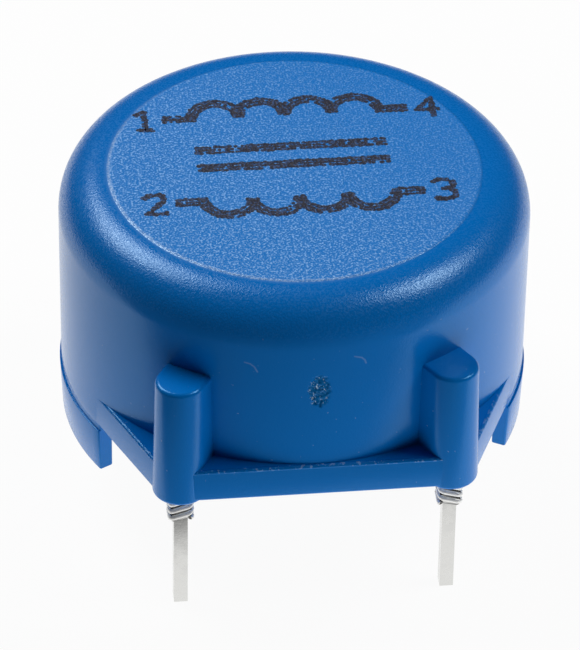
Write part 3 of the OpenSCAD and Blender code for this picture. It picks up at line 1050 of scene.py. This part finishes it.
def addLamps():
    for name, spec in lamps.items():
        data = bpy.data.lights.new(name, "AREA")
        data.shape = "SQUARE"
        data.size = spec["size"] * mm
        data.energy = spec["power"]
        lamp = bpy.data.objects.new(name, data)
        rise = math.radians(spec["elevation"])
        away = polar(math.cos(rise), math.radians(spec["azimuth"]), math.sin(rise))
        lamp.location = away * spec["reach"] * mm
        lamp.rotation_euler = away.to_track_quat("Z", "Y").to_euler()
        bpy.context.scene.collection.objects.link(lamp)
    data = bpy.data.lights.new("table", "AREA")
    data.shape = "RECTANGLE"
    data.size, data.size_y = (v * mm for v in table["size"])
    data.energy = table["glow"] * math.pi * data.size * data.size_y
    lamp = bpy.data.objects.new("table", data)
    lamp.location = Vector(table["at"]) * mm
    lamp.rotation_euler = (math.pi, 0, 0)
    lamp.visible_camera = lamp.visible_glossy = False
    bpy.context.scene.collection.objects.link(lamp)


floorLook = {
    "size": 3000,
    "pale": 0.8,
    "shade": 0.5,            # how much greyer the floor is at the front left
    "white": 0.95,           # share of white that the camera sees
    "dark": 0.05,            # tone of the mirrored floor in front and far away
    "fadeFrom": -15,
    "fadeTo": -19,
    "slant": 0.25,
    "reach": (75, 150),
}


def addFloor():
    # white to the camera apart from the shadow, and dark in front of the part where it is mirrored
    size = floorLook["size"] * mm
    mesh = bpy.data.meshes.new("floor")
    z = cadBox[0][2]
    mesh.from_pydata([(-size, -size, z), (size, -size, z), (size, size, z), (-size, size, z)], [], [(0, 1, 2, 3)])
    floor = addObject("floor", mesh)
    mat, tree, bsdf = newMaterial("paleFloor")
    place, x, y, _ = objectCoords(tree)
    ahead = mathNode(tree, "MULTIPLY_ADD", x, floorLook["slant"], y)
    away = addNode(tree, "ShaderNodeVectorMath", operation="LENGTH")
    tree.links.new(place, away.inputs[0])
    near, far = (v * mm for v in floorLook["reach"])
    front = rampNode(tree, ahead, floorLook["fadeTo"] * mm, floorLook["fadeFrom"] * mm, floorLook["dark"], 1.0)
    tone = mathNode(tree, "MULTIPLY", front, rampNode(tree, away.outputs["Value"], near, far, 1.0, floorLook["dark"]))
    shade = mathNode(tree, "MULTIPLY", rampNode(tree, x, -0.006, 0.006, 1.0, 0.0),
                     rampNode(tree, y, -0.016, -0.008, 1.0, 0.0))
    grey = mathNode(tree, "MULTIPLY_ADD", shade, -floorLook["shade"], floorLook["pale"])
    tree.links.new(grey, bsdf.inputs["Base Color"])
    bsdf.inputs["Roughness"].default_value = 0.9
    path = tree.nodes.new("ShaderNodeLightPath")
    seen = mathNode(tree, "MAXIMUM", path.outputs["Is Camera Ray"], path.outputs["Is Transmission Ray"])
    mirror = path.outputs["Is Glossy Ray"]
    glow = tree.nodes.new("ShaderNodeEmission")
    strength = mathNode(tree, "MAXIMUM", seen, mathNode(tree, "MULTIPLY", mirror, tone))
    tree.links.new(strength, glow.inputs["Strength"])
    mix = tree.nodes.new("ShaderNodeMixShader")
    glowShare = mathNode(tree, "MAXIMUM", mathNode(tree, "MULTIPLY", seen, floorLook["white"]), mirror)
    tree.links.new(glowShare, mix.inputs[0])
    tree.links.new(bsdf.outputs[0], mix.inputs[1])
    tree.links.new(glow.outputs[0], mix.inputs[2])
    tree.links.new(mix.outputs[0], tree.nodes["Material Output"].inputs["Surface"])
    mat.cycles.emission_sampling = "NONE"
    mesh.materials.append(mat)


def addWorld():
    world = bpy.data.worlds.new("studio")
    bpy.context.scene.world = world
    world.use_nodes = True
    tree = world.node_tree
    dim = tree.nodes["Background"]
    dim.inputs["Color"].default_value = (1, 1, 1, 1)
    dim.inputs["Strength"].default_value = 0.03
    white = addNode(tree, "ShaderNodeBackground", Strength=1.0)
    white.inputs["Color"].default_value = (1, 1, 1, 1)
    path = tree.nodes.new("ShaderNodeLightPath")
    mix = tree.nodes.new("ShaderNodeMixShader")
    tree.links.new(path.outputs["Is Camera Ray"], mix.inputs[0])
    tree.links.new(dim.outputs[0], mix.inputs[1])
    tree.links.new(white.outputs[0], mix.inputs[2])
    tree.links.new(mix.outputs[0], tree.nodes["World Output"].inputs["Surface"])


addCamera()
addLamps()
addFloor()
addWorld()
bpy.context.scene.view_settings.view_transform = "Standard"
print("stage set")
